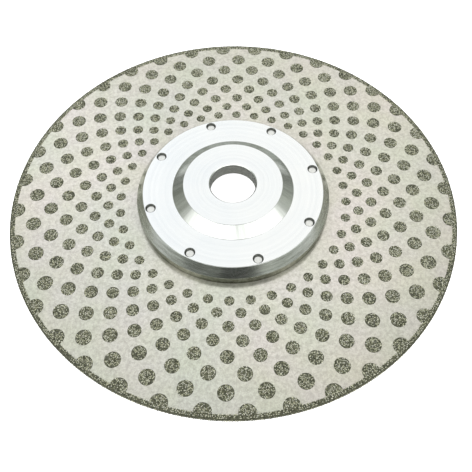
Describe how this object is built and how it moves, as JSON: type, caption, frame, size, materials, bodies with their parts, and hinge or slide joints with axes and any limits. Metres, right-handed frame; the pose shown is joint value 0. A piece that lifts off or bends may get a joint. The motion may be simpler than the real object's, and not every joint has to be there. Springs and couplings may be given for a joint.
{
  "type": "diamond grinding wheel",
  "caption": "Thin steel disc dotted with plated diamond grit on both faces and rim, with a screwed-on hub flange, for wet or dry grinding of stone on a plain arbor.",
  "frame": {"origin": "on the wheel's axis, in the plane of the back face's grit (the lowest plane)", "axes": "+Z along the spin axis, out of the flanged face; +X through a radial row of grit dots"},
  "size_m": [0.25, 0.25, 0.0175],
  "materials": {
    "core_steel": "satin, finely ground, faintly nickel-tinted",
    "diamond_grit": "coarse olive-grey diamond crystals in plated nickel",
    "turned_aluminium": "fine turned",
    "screw_steel": "bright zinc"
  },
  "bodies": {
    "root": {"core_disc": "core_steel", "rim_band": "diamond_grit", "flange": "turned_aluminium", "flange_screws": "screw_steel", "front_dots_ring_1": "diamond_grit", "front_dots_ring_2": "diamond_grit", "front_dots_ring_3": "diamond_grit", "front_dots_ring_4": "diamond_grit", "front_dots_ring_5": "diamond_grit", "front_dots_ring_6": "diamond_grit", "front_dots_ring_7": "diamond_grit", "front_dots_ring_8": "diamond_grit", "back_dots_ring_1": "diamond_grit", "back_dots_ring_2": "diamond_grit", "back_dots_ring_3": "diamond_grit", "back_dots_ring_4": "diamond_grit", "back_dots_ring_5": "diamond_grit", "back_dots_ring_6": "diamond_grit", "back_dots_ring_7": "diamond_grit", "back_dots_ring_8": "diamond_grit"}
  },
  "joints": []
}
